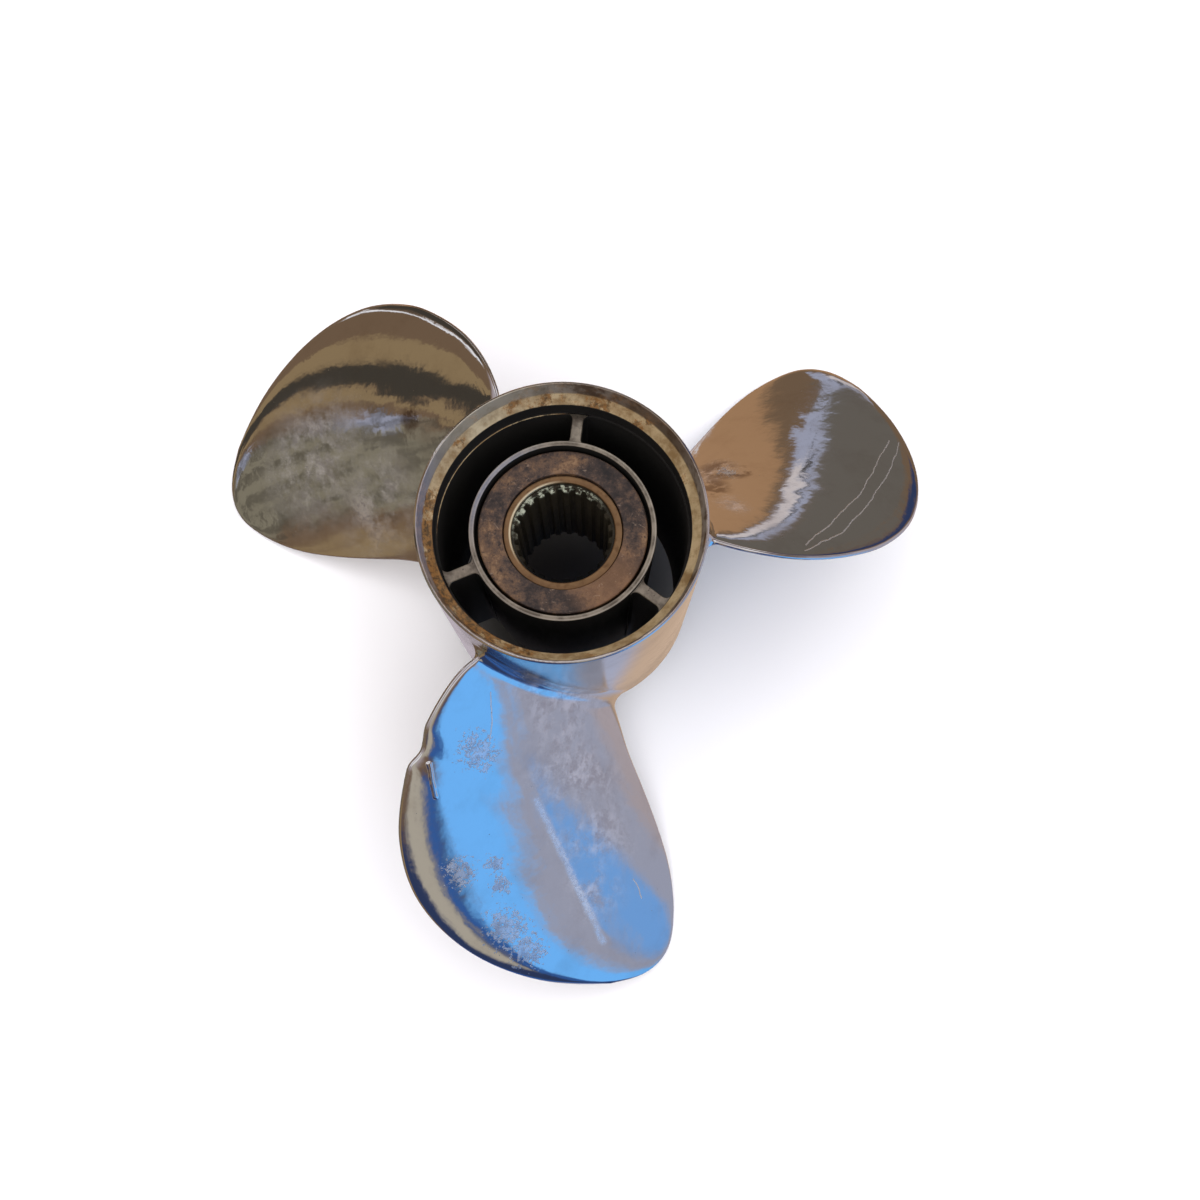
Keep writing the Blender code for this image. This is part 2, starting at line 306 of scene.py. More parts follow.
def make_inner_hub():
    profile = rounded_profile((
        (HUB_RADIUS, HUB_TOP, 0.0006),
        (HUB_TAIL_RADIUS, HUB_BOTTOM, 0.0006),
        (TAIL_BORE_RADIUS, HUB_BOTTOM, 0.0003),
        (TAIL_BORE_RADIUS, TAIL_BORE_DEPTH, 0.0002),
        (SHOULDER_RADIUS, TAIL_BORE_DEPTH, 0.0003),
        (SHOULDER_RADIUS, SHOULDER_DEPTH, 0.0002),
        (HUB_BORE_RADIUS, SHOULDER_DEPTH, 0.0),
        (HUB_BORE_RADIUS, HUB_MOUTH_DEPTH, 0.0002),
        (HUB_MOUTH_RADIUS, HUB_MOUTH_DEPTH, 0.0),
        (HUB_MOUTH_RADIUS, HUB_TOP, 0.0005),
    ))
    return revolved("inner_hub_skin", profile, HUB_STEPS)


def make_bushing():
    profile = rounded_profile((
        (HUB_BORE_RADIUS - BUSHING_GAP, BUSHING_TOP, 0.0008),
        (HUB_BORE_RADIUS - BUSHING_GAP, BUSHING_BOTTOM, 0.0008),
        (SLEEVE_RADIUS + BUSHING_GAP, BUSHING_BOTTOM, 0.0003),
        (SLEEVE_RADIUS + BUSHING_GAP, BUSHING_TOP, 0.0004),
    ))
    return revolved("rubber_bushing_skin", profile, BUSHING_STEPS)


def tooth_height(angle):
    """Share of the full tooth height at an angle round the splines."""
    place = (angle * SPLINE_COUNT / math.tau) % 1.0
    half_tooth = 0.5 * SPLINE_TOOTH_SHARE
    distance = min(place, 1.0 - place) - half_tooth
    share = max(0.0, min(1.0, 1.0 - distance / SPLINE_FLANK_SHARE))
    return share * share * (3.0 - 2.0 * share)


def make_sleeve():
    profile = rounded_profile((
        (SLEEVE_RADIUS, SLEEVE_TOP, 0.0003),
        (SLEEVE_RADIUS, SLEEVE_BOTTOM, 0.0004),
        (SPLINE_ROOT_RADIUS, SLEEVE_BOTTOM, 0.0),
        (SPLINE_ROOT_RADIUS, SLEEVE_BOTTOM - SPLINE_LAND, 0.0),
        (SPLINE_ROOT_RADIUS, SLEEVE_MOUTH_DEPTH + SPLINE_LAND, 0.0),
        (SPLINE_ROOT_RADIUS, SLEEVE_MOUTH_DEPTH, 0.0),
        (SLEEVE_MOUTH_RADIUS, SLEEVE_MOUTH_DEPTH, 0.0002),
        (SLEEVE_MOUTH_RADIUS, SLEEVE_TOP, 0.0007),
    ))

    def tooth(radius, depth, angle):
        half_land = 0.5 * SPLINE_LAND
        toothed = SLEEVE_MOUTH_DEPTH + half_land < depth < SLEEVE_BOTTOM - half_land
        if radius < SPLINE_ROOT_RADIUS + 0.0001 and toothed:
            return -(SPLINE_ROOT_RADIUS - SPLINE_TIP_RADIUS) * tooth_height(angle)
        return 0.0

    return revolved("spline_sleeve_skin", profile, SPLINE_COUNT * TOOTH_STEPS, tooth)


def make_rib(index):
    half = 0.5 * RIB_THICKNESS
    inner = HUB_RADIUS - RIB_HUB_LAP
    outer = PASSAGE_RADIUS + RIB_BARREL_LAP
    fillet = []
    for i in range(RIB_FILLET_STEPS + 1):
        turn = math.radians(90.0 * i / RIB_FILLET_STEPS)
        fillet.append((half + RIB_FILLET * (1.0 - math.sin(turn)),
                       RIB_FILLET_LAP + RIB_FILLET * (1.0 - math.cos(turn))))
    side = [(x, inner + y) for x, y in fillet]
    side += [(x, outer - y) for x, y in reversed(fillet)]
    plan = [(side[0][0], inner), *side, (side[0][0], outer)]
    plan = plan + [(-x, y) for x, y in reversed(plan)]
    turn = math.radians(RIB_ANGLE + index * 360.0 / RIB_COUNT - 90.0)
    spin = Matrix.Rotation(turn, 3, "Z")
    count = len(plan)
    levels = [(HUB_BOTTOM - RIB_SHORTENING, 0.0), (COUNTERBORE_DEPTH + RIB_BEVEL, 0.0),
              (COUNTERBORE_DEPTH, RIB_BEVEL)]
    verts = []
    for depth, inset in levels:
        for x, y in plan:
            shrink = max(0.0, abs(x) - inset) / max(abs(x), 1e-6)
            verts.append(spin @ Vector((x * shrink, y, height(depth))))
    faces = []
    for level in range(len(levels) - 1):
        for j in range(count):
            k = (j + 1) % count
            low = level * count
            faces.append((low + k, low + j, low + count + j, low + count + k))
    faces.append(tuple(range(count)))
    top = (len(levels) - 1) * count
    faces.append(tuple(range(top + count - 1, top - 1, -1)))
    name = f"rib_{index + 1}_skin"
    mesh = bpy.data.meshes.new(name)
    mesh.from_pydata(verts, [], faces)
    smooth_by_angle(mesh)
    return new_object(name, mesh)


def edge_point(edge, share):
    """Point at a share of the way along an edge curve, on a smooth spline through its points."""
    place = share * (len(edge) - 1)
    index = min(int(place), len(edge) - 2)
    t = place - index
    before = edge[max(index - 1, 0)]
    after = edge[min(index + 2, len(edge) - 1)]
    point = []
    for a, b, c, d in zip(before, edge[index], edge[index + 1], after):
        point.append(0.5 * (2.0 * b + (c - a) * t + (2.0 * a - 5.0 * b + 4.0 * c - d) * t**2
                            + (3.0 * b - a - 3.0 * c + d) * t**3))
    return point


def share_at_radius(edge, radius):
    low, high = 0.0, 0.5
    for _ in range(30):
        middle = 0.5 * (low + high)
        if edge_point(edge, middle)[0] < radius:
            low = middle
        else:
            high = middle
    return low


def eased(value, start, end):
    t = max(0.0, min(1.0, (value - start) / (end - start)))
    return t * t * (3.0 - 2.0 * t)


def blade_thickness(radius):
    share = (radius - RIM_RADIUS) / (TIP_RADIUS - RIM_RADIUS)
    return ROOT_THICKNESS + (TIP_THICKNESS - ROOT_THICKNESS) * share


def lead_inset(index, radius):
    """How far a blade's leading edge is worn or knocked in."""
    if index > 0:
        return 0.0
    dent = eased(radius, DENT_START, DENT_DEEPEST) * eased(radius, DENT_END, DENT_DEEPEST)
    worn = eased(radius, WORN_START, DENT_START) * eased(radius, DENT_END, DENT_DEEPEST)
    return DENT_DEPTH * dent + WORN_DEPTH * worn


def relief(index, radius, angle, inset):
    """Small rises and hollows of a blade's surface, measured across it; inset is from its lead."""
    place = Vector((radius, radius * math.radians(angle), 0.3 * index))
    rise = (WAVE_HEIGHT * noise.noise(place * WAVE_SCALE)
            + RIPPLE_HEIGHT * noise.noise(place * RIPPLE_SCALE))
    rise *= (eased(radius, RIM_RADIUS, RIM_RADIUS + WAVES_ONSET)
             * eased(radius, TIP_RADIUS, TIP_RADIUS - WAVES_FADE))
    rolled = max(0.0, 1.0 - inset / ROLL_WIDTH)
    rise -= ROLL_DROPS[index] * rolled**2 * eased(radius, ROLL_END, ROLL_END - ROLL_FADE)
    if index == 0:
        crease = CREASE_ANGLE + CREASE_SWEEP * (radius - CREASE_START)
        beyond = math.radians(crease - angle) * radius / math.hypot(1.0, CREASE_NARROWING * radius)
        before = CREASE_START - CREASE_LEAD
        start = eased(radius, before, before + CREASE_ONSET)
        rise -= CREASE_SLOPE * start * max(0.0, beyond - CREASE_FLAT)
        ridge = RIDGE_ANGLE + RIDGE_SWEEP * (radius - RIDGE_START)
        aside = math.radians(angle - ridge) * radius / RIDGE_WIDTH
        along = (eased(radius, RIDGE_START, RIDGE_START + RIDGE_ONSET)
                 * eased(radius, RIDGE_END, RIDGE_END - RIDGE_FADE))
        rise += RIDGE_HEIGHT * along * math.exp(-aside * aside)
    return rise


def skin_point(radius, angle, along, across):
    """A point on the blade, moved along and across its section on a cylinder about the shaft."""
    lead = PITCH / math.tau
    slope = math.hypot(lead, radius)
    turn = math.radians(angle) + (along * radius + across * lead) / slope / radius
    depth = (BLADE_DEPTH + lead * math.radians(angle) + RAKE * (radius - RIM_RADIUS)
             + (along * lead - across * radius) / slope)
    return Vector((radius * math.cos(turn), radius * math.sin(turn), height(depth)))


def blade_ring(index, lead_share, trail_share, growth):
    """One closed section of the blade at azimuth 0."""
    lead_radius, lead_angle = edge_point(LEADING_EDGE, lead_share)
    trail_radius, trail_angle = edge_point(TRAILING_EDGE, trail_share)
    lead_angle += math.degrees(lead_inset(index, lead_radius) / lead_radius)
    chord = math.hypot(PITCH / math.tau, lead_radius) * math.radians(trail_angle - lead_angle)
    upper = []
    lower = []
    for i in range(BLADE_STATIONS + 1):
        s = 0.5 - 0.5 * math.cos(math.pi * i / BLADE_STATIONS)
        radius = lead_radius + (trail_radius - lead_radius) * s
        angle = lead_angle + (trail_angle - lead_angle) * s
        bulge = math.sqrt(4.0 * s * (1.0 - s))
        thickness = EDGE_THICKNESS + (blade_thickness(radius) - EDGE_THICKNESS) * bulge
        middle = CAMBER * chord * 4.0 * s * (1.0 - s) + relief(index, radius, angle, chord * s)
        half = 0.5 * thickness + growth
        spread = growth * (2.0 * s - 1.0)
        upper.append(skin_point(radius, angle, spread, middle + half))
        lower.append(skin_point(radius, angle, spread, middle - half))
    reach = 0.5 * EDGE_THICKNESS + growth
    nose = 0.5 * EDGE_THICKNESS - EDGE_TRIM
    lead_middle = relief(index, lead_radius, lead_angle, 0.0)
    trail_middle = relief(index, trail_radius, trail_angle, chord)
    front = []
    back = []
    for i in range(1, NOSE_STEPS):
        turn = math.pi * (i / NOSE_STEPS - 0.5)
        out = nose * math.cos(turn) + growth
        front.append(skin_point(lead_radius, lead_angle, -out,
                                lead_middle + reach * math.sin(turn)))
        back.append(skin_point(trail_radius, trail_angle, out,
                               trail_middle - reach * math.sin(turn)))
    return front + upper + back + lower[::-1]


def sunk_in_barrel(point):
    outward = Vector((point.x, point.y, 0.0)).normalized()
    return outward * (RIM_RADIUS - ROOT_SINK) + Vector((0.0, 0.0, point.z))


def make_blade(index):
    rings = []
    for row in range(FILLET_ROWS + 1):
        turn = math.radians(90.0 * row / FILLET_ROWS)
        radius = RIM_RADIUS + ROOT_FILLET * (1.0 - math.cos(turn))
        growth = ROOT_FILLET * (1.0 - math.sin(turn))
        lead_share = share_at_radius(LEADING_EDGE, radius)
        trail_share = share_at_radius(TRAILING_EDGE, radius)
        rings.append(blade_ring(index, lead_share, trail_share, growth))
    for row in range(1, BLADE_ROWS + 1):
        share = math.sin(0.5 * math.pi * row / BLADE_ROWS) * LAST_ROW
        rings.append(blade_ring(index, lead_share + (1.0 - lead_share) * share,
                                trail_share + (1.0 - trail_share) * share, 0.0))
    rings.insert(0, [sunk_in_barrel(point) for point in rings[0]])
    count = len(rings[0])
    turn = math.radians(BLADE_ANGLE + index * 360.0 / BLADE_COUNT)
    spin = Matrix.Rotation(turn, 3, "Z")
    verts = [spin @ point for ring in rings for point in ring]
    faces = []
    for row in range(len(rings) - 1):
        low = row * count
        for j in range(count):
            k = (j + 1) % count
            faces.append((low + j, low + k, low + count + k, low + count + j))
    faces.append(tuple(range(count))[::-1])
    last = (len(rings) - 1) * count
    faces.append(tuple(range(last, last + count)))
    name = f"blade_{index + 1}_skin"
    mesh = bpy.data.meshes.new(name)
    mesh.from_pydata(verts, [], faces)
    smooth_by_angle(mesh, 40.0)
    return new_object(name, mesh)


class Graph:
    """A short way to build a node tree: every method adds one node and gives back its output."""

    def __init__(self, tree):
        self.tree = tree

    def add(self, kind, inputs=(), output=0, **settings):
        node = self.tree.nodes.new(kind)
        for key, value in settings.items():
            setattr(node, key, value)
        for key, value in dict(inputs).items():
            self.put(node.inputs[key], value)
        return node.outputs[output]

    def put(self, socket, value):
        if isinstance(value, bpy.types.NodeSocket):
            self.tree.links.new(value, socket)
        else:
            socket.default_value = value

    def math(self, operation, *values):
        return self.add("ShaderNodeMath", enumerate(values), operation=operation)

    def vector(self, operation, *values, output=0):
        return self.add("ShaderNodeVectorMath", enumerate(values), output, operation=operation)

    def smooth(self, value, start, end, low=0.0, high=1.0):
        inputs = {0: value, 1: start, 2: end, 3: low, 4: high}
        return self.add("ShaderNodeMapRange", inputs, interpolation_type="SMOOTHSTEP")

    def mix(self, factor, first, second):
        inputs = {0: factor, 6: colour(first), 7: colour(second)}
        return self.add("ShaderNodeMix", inputs, 2, data_type="RGBA")

    def noise(self, place, scale, detail=2.0, roughness=0.5, distortion=0.0):
        inputs = {"Vector": place, "Scale": scale, "Detail": detail, "Roughness": roughness,
                  "Distortion": distortion}
        return self.add("ShaderNodeTexNoise", inputs)

    def spots(self, place, scale, output=0):
        return self.add("ShaderNodeTexVoronoi", {"Vector": place, "Scale": scale}, output)

    def ramp(self, value, stops):
        node = self.tree.nodes.new("ShaderNodeValToRGB")
        self.put(node.inputs[0], value)
        points = node.color_ramp.elements
        while len(points) < len(stops):
            points.new(0.5)
        for point, (position, shade) in zip(points, stops):
            point.position = position
            point.color = colour(shade)
        return node.outputs[0]

    def near(self, place, centre, radius, softness=0.5):
        """1 inside a ball round a centre, fading to 0 at its radius."""
        distance = self.vector("DISTANCE", place, centre, output=1)
        return self.smooth(distance, radius * (1.0 - softness), radius, 1.0, 0.0)

    def line(self, place, start, end, width, softness=0.5):
        """1 along a straight line between two points, fading to 0 at half its width."""
        along = Vector(end) - Vector(start)
        offset = self.vector("SUBTRACT", place, start)
        share = self.vector("DOT_PRODUCT", offset, along / along.length_squared, output=1)
        share = self.add("ShaderNodeClamp", {0: share})
        foot = self.add("ShaderNodeVectorMath", {0: along, "Scale": share}, operation="SCALE")
        distance = self.vector("DISTANCE", offset, foot, output=1)
        half = 0.5 * width
        return self.smooth(distance, half * (1.0 - softness), half, 1.0, 0.0)

    def radius_and_depth(self, place):
        """Distance from the shaft axis, and depth below the forward rim."""
        flat = self.vector("MULTIPLY", place, (1.0, 1.0, 0.0))
        radius = self.vector("LENGTH", flat, output=1)
        parts = self.tree.nodes.new("ShaderNodeSeparateXYZ")
        self.put(parts.inputs[0], place)
        return radius, self.math("SUBTRACT", RIM_HEIGHT, parts.outputs[2])

    def patches(self, place, spots, softness):
        """1 inside any of the balls given by centre and radius."""
        cover = 0.0
        for centre, radius in spots:
            cover = self.math("MAXIMUM", cover, self.near(place, centre, radius, softness))
        return cover

    def bump(self, rise, distance, normal=None):
        inputs = {"Height": rise, "Distance": distance}
        if normal is not None:
            inputs["Normal"] = normal
        return self.add("ShaderNodeBump", inputs)


def colour(value):
    """An output as it is, or three screen values from 0 to 255 as a linear colour."""
    if isinstance(value, bpy.types.NodeSocket):
        return value
    linear = []
    for part in value:
        part = part / 255.0
        linear.append(part / 12.92 if part < 0.04045 else ((part + 0.055) / 1.055) ** 2.4)
    return (*linear, 1.0)


def plain_material(name, shade, roughness):
    """A material of one colour, and the inputs of its shader."""
    material = bpy.data.materials.new(name)
    material.use_nodes = True
    shader = material.node_tree.nodes["Principled BSDF"].inputs
    shader["Base Color"].default_value = colour(shade)
    shader["Roughness"].default_value = roughness
    return material, shader


def new_material(name):
    """A material, its node graph, the inputs of its shader, and the place on the object."""
    material, shader = plain_material(name, STEEL, 0.5)
    graph = Graph(material.node_tree)
    place = graph.add("ShaderNodeTexCoord", output=3)
    return material, graph, shader, place


# Clean polished steel, and how weakly the sooty and rusty metals shine
STEEL = (207, 204, 199)
WEAK_SHINE = 0.15

# Crusts of dried water on each blade, in plan: centre and radius
STAINS = (
    (((-0.0263, -0.1390, 0.0), 0.0100), ((-0.0131, -0.1342, 0.0), 0.0065),
     ((-0.0098, -0.1421, 0.0), 0.0060), ((-0.0060, -0.1600, 0.0), 0.0130),
     ((0.0040, -0.1680, 0.0), 0.0120), ((-0.0240, -0.0900, 0.0), 0.0120)),
    (((0.0680, 0.0560, 0.0), 0.0070),),
    (),
)
# Dull clouds on each blade, in plan: centre and radius. The first on the first blade, at its root, is a
# dull cloud painted pale as the fillet's highlights
CLOUDS = (
    (((0.0060, -0.0620, 0.0), 0.0260), ((0.0150, -0.0900, 0.0), 0.0280),
     ((0.0260, -0.1150, 0.0), 0.0260),
     ((0.0050, -0.0750, 0.0), 0.0200), ((0.0300, -0.1400, 0.0), 0.0180)),
    (((0.0640, 0.0560, 0.0), 0.0140), ((0.0700, 0.0300, 0.0), 0.0100)),
    (((-0.1300, 0.0450, 0.0), 0.0400), ((-0.0950, 0.0250, 0.0), 0.0300)),
)
# Brown smudges on each blade, in plan: centre and radius
SMUDGES = (
    (),
    (((0.0640, 0.0580, 0.0), 0.0120), ((0.0610, 0.0440, 0.0), 0.0110),
     ((0.0740, 0.0560, 0.0), 0.0070)),
    (((-0.0780, 0.0560, 0.0), 0.0070),),
)
# Long fine scratches on each blade, in plan: points along them
SCRATCHES = (
    (((-0.0210, -0.0670, 0.0), (-0.0195, -0.0850, 0.0)),
     ((0.0470, -0.1330, 0.0), (0.0500, -0.1370, 0.0), (0.0520, -0.1410, 0.0))),
    (((0.1460, 0.0864, 0.0), (0.1286, 0.0479, 0.0), (0.1130, 0.0262, 0.0),
      (0.1004, 0.0106, 0.0)),
     ((0.1512, 0.0865, 0.0), (0.1449, 0.0670, 0.0), (0.1296, 0.0383, 0.0),
      (0.1172, 0.0214, 0.0), (0.1002, 0.0073, 0.0))),
    (),
)
SCRATCH_WIDTH = 0.0006
# A gouge beside the first blade's dent, in plan
GOUGE = ((-0.0420, -0.0985, 0.0), (-0.0385, -0.1100, 0.0))
# A pale beaded line along the first blade's ridge, in plan: a burnished line, painted pale as the ridge's
# highlight
RIDGE_HIGHLIGHT_LINE = ((0.0009, -0.1057, 0.0), (0.0363, -0.1616, 0.0))


def blade_marks(graph, place, wavering, unsteady, index):
    """Where each kind of mark lies on a blade, from 0 to 1."""
    cloud = graph.smooth(graph.noise(place, 70.0, 5.0, 0.75), 0.36, 0.62)
    cloud = graph.math("MULTIPLY", graph.patches(wavering, CLOUDS[index], 0.9), cloud)
    cover = graph.patches(wavering, STAINS[index], 0.9)
    flakes = graph.noise(place, 520.0, 5.0, 0.75)
    stain = graph.smooth(graph.math("MULTIPLY_ADD", cover, 0.20, flakes), 0.63, 0.68)
    stain = graph.math("MULTIPLY", stain, graph.math("GREATER_THAN", cover, 0.02))
    smear = graph.smooth(graph.noise(place, 110.0, 4.0, 0.7), 0.40, 0.54)
    smudge = graph.math("MULTIPLY", graph.patches(wavering, SMUDGES[index], 0.6), smear)
    pit = graph.smooth(graph.spots(place, 150.0), 0.02, 0.045, 1.0, 0.0)
    scratch = 0.0
    for points in SCRATCHES[index]:
        for start, end in zip(points, points[1:]):
            line = graph.line(unsteady, start, end, SCRATCH_WIDTH)
            scratch = graph.math("MAXIMUM", scratch, line)
    return cloud, stain, smudge, pit, scratch


def marked_shade(graph, place, haze, cloud, stain, smudge, pit):
    """The steel's colour under its marks."""
    shade = graph.mix(haze, STEEL, (198, 193, 187))
    bloom = graph.smooth(graph.noise(place, 190.0, 4.0, 0.75), 0.42, 0.60)
    bloom = graph.mix(bloom, (146, 136, 138), (216, 210, 208))
    crystal = graph.smooth(graph.noise(place, 260.0, 2.0), 0.42, 0.58)
    crystal = graph.mix(crystal, (110, 124, 150), (186, 200, 214))
    for mark, strength, tint in ((cloud, 0.62, bloom), (stain, 0.4, crystal),
                                 (smudge, 0.8, (116, 98, 86)), (pit, 0.5, (90, 80, 70))):
        shade = graph.mix(graph.math("MULTIPLY", mark, strength), shade, tint)
    return shade


def polished_steel(index):
    """Neutral polished steel with dull clouds, dried crusts, smudges, pits and scratches; on the first
    blade a pale line along the ridge and a pale cloud at the root are painted highlights.
    """
    material, graph, shader, place = new_material(f"blade_{index + 1}_steel")
    waver = graph.add("ShaderNodeTexNoise", {"Vector": place, "Scale": 120.0, "Detail": 2.0}, 1)
    waver = graph.vector("SUBTRACT", waver, (0.5, 0.5, 0.5))
    plan = graph.vector("MULTIPLY", place, (1.0, 1.0, 0.0))
    wavering = graph.vector("MULTIPLY_ADD", waver, (0.005, 0.005, 0.0), plan)
    unsteady = graph.vector("MULTIPLY_ADD", waver, (0.002, 0.002, 0.0), plan)
    haze = graph.smooth(graph.noise(place, 38.0, 4.0, 0.68), 0.45, 0.75)
    cloud, stain, smudge, pit, scratch = blade_marks(graph, place, wavering, unsteady, index)
    shade = marked_shade(graph, place, haze, cloud, stain, smudge, pit)
    # What the marks do to the polish: the loss of metal, the gain in roughness
    metal = 1.0
    rough = graph.math("MULTIPLY_ADD", haze, 0.05, 0.06)
    for mark, dulled, roughened in ((cloud, -0.22, 0.16), (stain, -0.12, 0.25),
                                    (scratch, -0.16, 0.35), (pit, 0.0, 0.30)):
        metal = graph.math("MULTIPLY_ADD", mark, dulled, metal)
        rough = graph.math("MULTIPLY_ADD", mark, roughened, rough)
    if index == 0:
        # On the first blade, a pale beaded line along the ridge: a burnished line, painted pale as the
        # ridge's highlight
        beads = graph.smooth(graph.noise(place, 700.0, 3.0, 0.6), 0.30, 0.62, 0.35, 1.0)
        ridge = graph.math("MULTIPLY", graph.line(unsteady, *RIDGE_HIGHLIGHT_LINE, 0.0050, 0.9), beads)
        shade = graph.mix(graph.math("MULTIPLY", ridge, 0.8), shade, (212, 220, 226))
        metal = graph.math("MULTIPLY_ADD", ridge, -0.11, metal)
        rough = graph.math("MULTIPLY_ADD", ridge, 0.25, rough)
    graph.put(shader["Base Color"], shade)
    graph.put(shader["Metallic"], metal)
    graph.put(shader["Roughness"], rough)
    # Ripples, waves, grain, crusts and grooves
    normal = None
    for rise, distance in ((graph.noise(place, 130.0, 2.0), 0.00008),
                           (graph.noise(place, 55.0, 1.0), 0.00014),
                           (graph.noise(place, 1100.0, 2.0), 0.000004),
                           (stain, 0.00004), (scratch, 0.00004)):
        normal = graph.bump(rise, distance, normal)
    if index == 0:
        normal = graph.bump(graph.line(unsteady, *GOUGE, 0.0026, 0.8), 0.00030, normal)
    graph.put(shader["Normal"], normal)
    return material


def machined_mouth(graph, place, radius, depth, grime):
    """Shade of the barrel's chamfer, of the steep band above it, and of the tail, with a painted
    highlight and a painted reflection on the band's left.
    """
    chamfer = graph.mix(graph.smooth(grime, 0.36, 0.66), (202, 180, 140), (150, 122, 84))
    band = graph.mix(graph.smooth(grime, 0.42, 0.62), (150, 138, 126), (92, 74, 60))
    # The band is painted paler on its upper left, a painted highlight, and bluer on its left, a painted
    # reflection; on its upper right it is browner with dirt
    sides = (
        ((-0.045, 0.040, RIM_HEIGHT), 0.055, 0.6, (196, 188, 166)),
        ((-0.058, -0.005, RIM_HEIGHT), 0.040, 0.6, (150, 156, 176)),
        ((0.034, 0.046, RIM_HEIGHT), 0.036, 0.75, (96, 76, 56)),
    )
    for centre, reach, strength, shade in sides:
        side = graph.math("MULTIPLY", graph.near(place, centre, reach, 0.8), strength)
        band = graph.mix(side, band, shade)
    mouth = graph.mix(graph.smooth(radius, 0.0552, 0.0556), chamfer, band)
    tail = graph.smooth(depth, BARREL_LENGTH - 0.0030, BARREL_LENGTH - 0.0010)
    return graph.mix(tail, mouth, (172, 167, 160)), tail


def mouth_rust(graph, place, radius):
    """Where rust lies at the barrel's mouth, and its shade."""
    left = graph.near(place, (-0.040, -0.030, RIM_HEIGHT), 0.060, 0.7)
    upper = graph.near(place, (0.006, 0.060, RIM_HEIGHT), 0.045, 0.7)
    rusty = graph.math("MAXIMUM", left, graph.math("MULTIPLY", upper, 0.55))
    grains = graph.noise(place, 520.0, 3.0, 0.7)
    rust = graph.math("MULTIPLY_ADD", rusty, 0.28, graph.noise(place, 95.0, 6.0, 0.72))
    rust = graph.smooth(graph.math("MULTIPLY_ADD", grains, 0.16, rust), 0.66, 0.78)
    on_chamfer = graph.smooth(radius, 0.0558, 0.0553, 0.45, 1.0)
    shade = graph.mix(graph.smooth(grains, 0.38, 0.60), (50, 34, 20), (120, 82, 42))
    return graph.math("MULTIPLY", rust, on_chamfer), shade


def barrel_metal():
    """Polished outside, machined and rusty at the mouth, black with soot inside."""
    material, graph, shader, place = new_material("barrel_metal")
    shader["Specular IOR Level"].default_value = WEAK_SHINE
    radius, depth = graph.radius_and_depth(place)
    haze = graph.smooth(graph.noise(place, 45.0, 5.0, 0.6), 0.45, 0.75)
    steel = graph.mix(haze, STEEL, (198, 194, 188))
    grime = graph.noise(place, 120.0, 5.0, 0.65)
    inside = graph.smooth(radius, RIM_RADIUS - 0.0008, RIM_RADIUS - 0.0011)
    mouth, tail = machined_mouth(graph, place, radius, depth, grime)
    rust, rust_shade = mouth_rust(graph, place, radius)
    rust = graph.math("MULTIPLY", rust, inside)
    rust = graph.math("MULTIPLY", rust, graph.math("SUBTRACT", 1.0, tail))
    mouth = graph.mix(graph.math("MULTIPLY", rust, 0.9), mouth, rust_shade)
    shade = graph.mix(inside, steel, mouth)
    # Soot everywhere inside, but for a bare line on the step and the bare tail. The step's bare line is
    # kept to its upper left, where it is a painted highlight
    soot_shade = graph.mix(graph.noise(place, 60.0, 4.0, 0.6), (20, 19, 18), (36, 34, 31))
    step = graph.math("COMPARE", depth, COUNTERBORE_DEPTH, 0.00025)
    for part in (graph.smooth(radius, 0.0514, 0.0512),
                 graph.near(place, (-0.045, 0.035, 0.045), 0.050, 0.4),
                 graph.smooth(grime, 0.40, 0.50, 0.2, 1.0)):
        step = graph.math("MULTIPLY", step, part)
    bare = graph.math("MAXIMUM", step, graph.math("MULTIPLY", tail, 0.9))
    soot = graph.smooth(radius, COUNTERBORE_RADIUS + 0.0004, COUNTERBORE_RADIUS + 0.0001)
    soot = graph.math("MULTIPLY", soot, graph.math("SUBTRACT", 1.0, bare))
    graph.put(shader["Base Color"], graph.mix(soot, shade, soot_shade))
    metal = graph.math("SUBTRACT", 1.0, soot)
    metal = graph.math("SUBTRACT", metal, graph.math("MULTIPLY", rust, 0.8))
    metal = graph.math("SUBTRACT", metal, graph.math("MULTIPLY", inside, 0.50))
    graph.put(shader["Metallic"], graph.add("ShaderNodeClamp", {0: metal}))
    rough = graph.math("MULTIPLY_ADD", haze, 0.08, 0.12)
    rough = graph.math("MULTIPLY_ADD", inside, 0.30, rough)
    rough = graph.math("MULTIPLY_ADD", soot, 0.40, rough)
    graph.put(shader["Roughness"], rough)
    # Pits inside, and grinding lines on the polished outside
    pits = graph.noise(place, 900.0, 3.0, 0.6)
    pits = graph.math("MULTIPLY", pits, graph.math("MULTIPLY_ADD", inside, 1.0, 0.03))
    pitted = graph.bump(pits, 0.00006)
    ground = graph.vector("DOT_PRODUCT", place, (0.7, 0.3, 0.65), output=1)
    across = graph.vector("DOT_PRODUCT", place, (-0.6, 0.1, 0.8), output=1)
    lines = graph.add("ShaderNodeCombineXYZ", {0: graph.math("MULTIPLY", ground, 12.0), 1: across})
    lines = graph.math("MULTIPLY", graph.noise(lines, 130.0, 3.0, 0.6),
                       graph.math("SUBTRACT", 1.0, inside))
    graph.put(shader["Normal"], graph.bump(lines, 0.00007, pitted))
    return material


